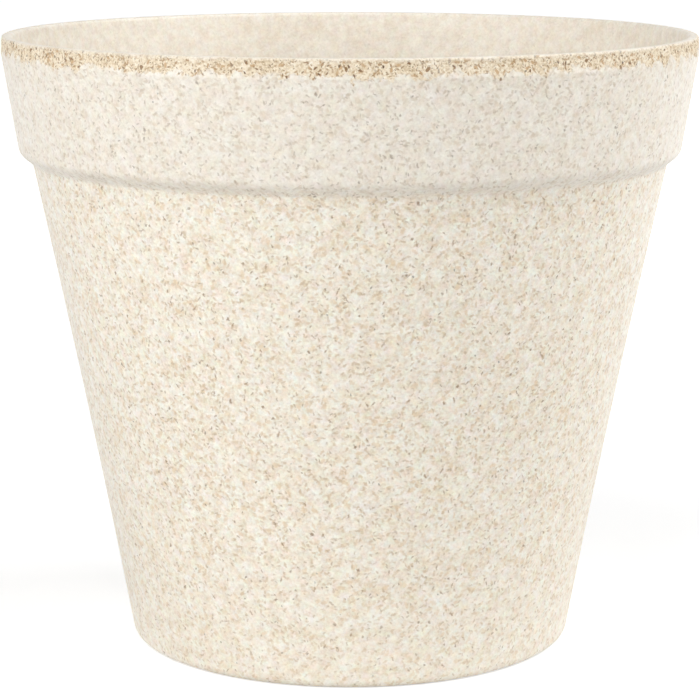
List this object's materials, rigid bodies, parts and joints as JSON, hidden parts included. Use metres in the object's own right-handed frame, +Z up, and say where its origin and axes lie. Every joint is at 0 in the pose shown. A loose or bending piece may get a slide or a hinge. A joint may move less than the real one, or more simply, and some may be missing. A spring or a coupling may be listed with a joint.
{
  "type": "flower pot",
  "caption": "Round tapered plant pot with a stepped collar, a sanded rim, drain holes and a foot ring, moulded in one piece from plant fibre composite.",
  "frame": {"origin": "centre of the foot ring, on the surface that the pot stands on", "axes": "+Z up along the pot's axis, through the open top; X and Y are alike, with the ring of drain holes on their diagonals"},
  "size_m": [0.1404, 0.1404, 0.124],
  "materials": {
    "fibre_composite": "satin-matt moulded plant fibre and resin, cream with tan chips and small dark specks; the rim's edge is sanded and browner"
  },
  "bodies": {
    "root": {"pot": "fibre_composite"}
  },
  "joints": []
}
